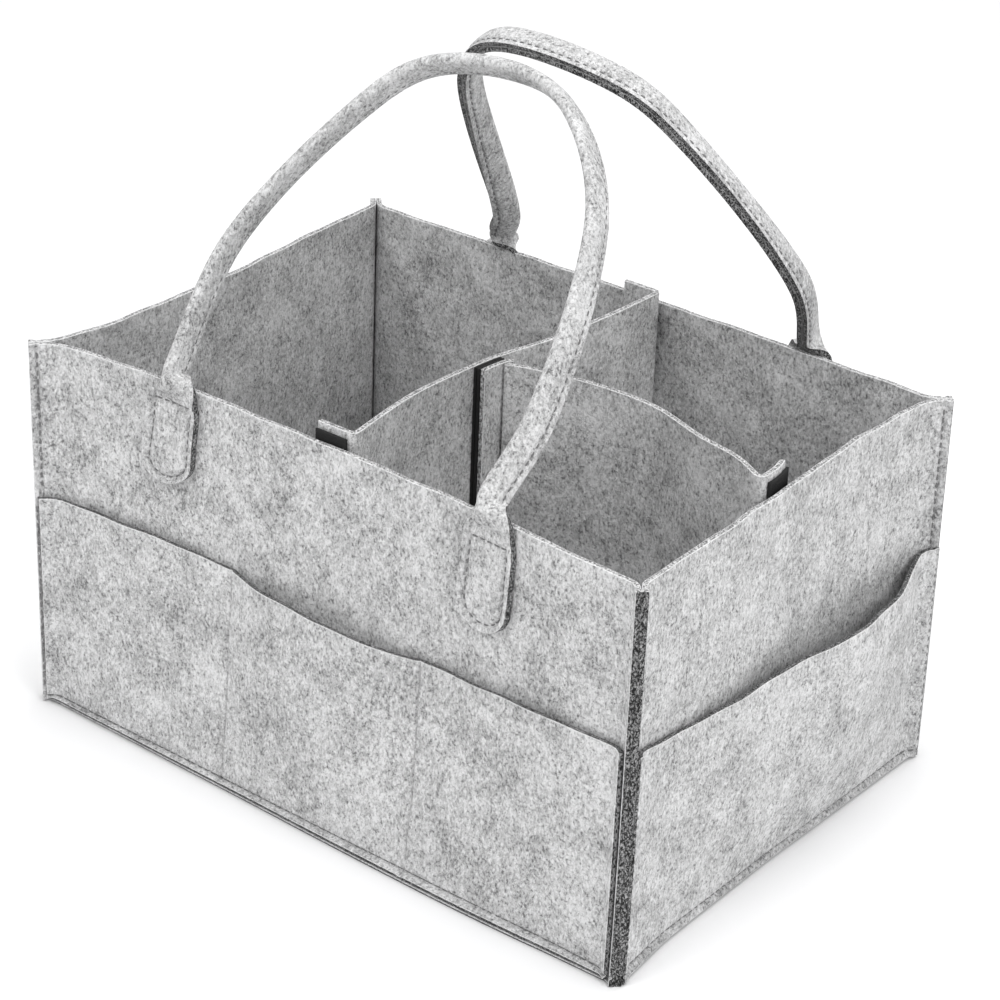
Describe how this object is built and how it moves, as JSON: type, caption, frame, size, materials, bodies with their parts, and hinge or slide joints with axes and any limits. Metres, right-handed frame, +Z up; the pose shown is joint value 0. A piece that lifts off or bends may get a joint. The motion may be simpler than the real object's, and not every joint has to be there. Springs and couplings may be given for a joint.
{
  "type": "diaper caddy",
  "caption": "Open rectangular felt caddy with outer pockets, arched folded-strap handles and lift-out dividers held by hook tape.",
  "frame": {"origin": "on the floor under the middle of the box", "axes": "+X along the long side towards the right end, +Y from the front wall to the back wall, +Z up"},
  "size_m": [0.3569, 0.2473, 0.3332],
  "materials": {
    "felt": "matte heather grey felt",
    "hook_tape": "matte black hook and loop tape"
  },
  "bodies": {
    "box": {"bottom_panel": "felt", "front_panel": "felt", "back_panel": "felt", "left_panel": "felt", "right_panel": "felt", "front_pocket_strip": "felt", "back_pocket_strip": "felt", "left_pocket_panel": "felt", "right_pocket_panel": "felt", "front_handle_left_tab": "felt", "front_handle_right_tab": "felt", "back_handle_left_tab": "felt", "back_handle_right_tab": "felt"},
    "front_handle": {"front_handle_strap": "felt"},
    "back_handle": {"back_handle_strap": "felt"},
    "long_divider_unit": {"long_divider": "felt", "long_divider_front_hook_tape": "hook_tape", "long_divider_back_hook_tape": "hook_tape", "long_divider_loop_tape": "hook_tape"},
    "short_divider_unit": {"short_divider": "felt", "short_divider_t_strip": "felt", "t_strip_hook_tape": "hook_tape", "short_divider_end_hook_tape": "hook_tape"}
  },
  "joints": [
    {"name": "front_handle_swing", "type": "hinge", "parent": "box", "child": "front_handle", "pos_m": [0, -0.10783, 0.1885], "axis": [1, 0, 0], "range_deg": [0, 170]},
    {"name": "back_handle_swing", "type": "hinge", "parent": "box", "child": "back_handle", "pos_m": [0, 0.11707, 0.1885], "axis": [-1, 0, 0], "range_deg": [0, 163]},
    {"name": "long_divider_lift", "type": "slide", "parent": "box", "child": "long_divider_unit", "axis": [0, 0, 1], "range_m": [0, 0.06]},
    {"name": "short_divider_lift", "type": "slide", "parent": "long_divider_unit", "child": "short_divider_unit", "axis": [0, 0, 1], "range_m": [0, 0.045]}
  ]
}
